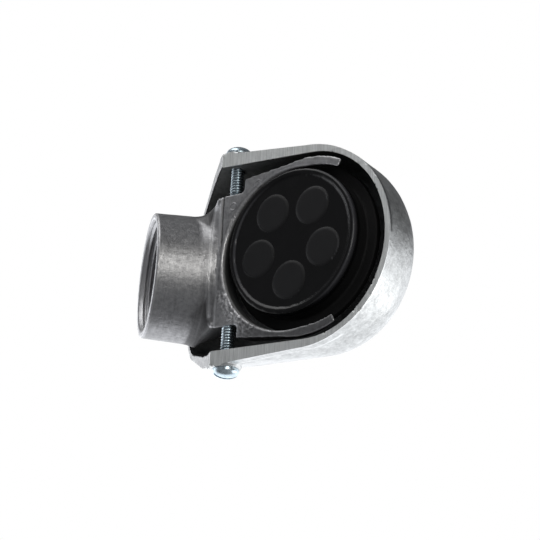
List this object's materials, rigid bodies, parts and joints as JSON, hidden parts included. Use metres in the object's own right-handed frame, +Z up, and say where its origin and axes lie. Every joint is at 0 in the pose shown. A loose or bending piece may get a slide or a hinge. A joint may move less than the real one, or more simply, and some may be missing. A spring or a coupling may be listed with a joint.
{
  "type": "service entrance weatherhead",
  "caption": "Cast weatherhead for conduit: threaded hub, inclined horseshoe face with a round knockout insert, and a screwed-on rain hood.",
  "frame": {"origin": "centre of the hub mouth, where the conduit enters", "axes": "+Z up along the hub axis, conductors leave towards -Y, X across the clamp screws"},
  "size_m": [0.0896, 0.109, 0.0877],
  "materials": {
    "cast_body": "dull as-cast",
    "cast_hood": "dull as-cast, sawn rim",
    "black_plastic": "satin black moulding",
    "zinc_steel": "bright zinc plate"
  },
  "bodies": {
    "root": {"hub_body": "cast_body", "hood": "cast_hood", "conductor_insert": "black_plastic", "left_screw": "zinc_steel", "right_screw": "zinc_steel"}
  },
  "joints": []
}
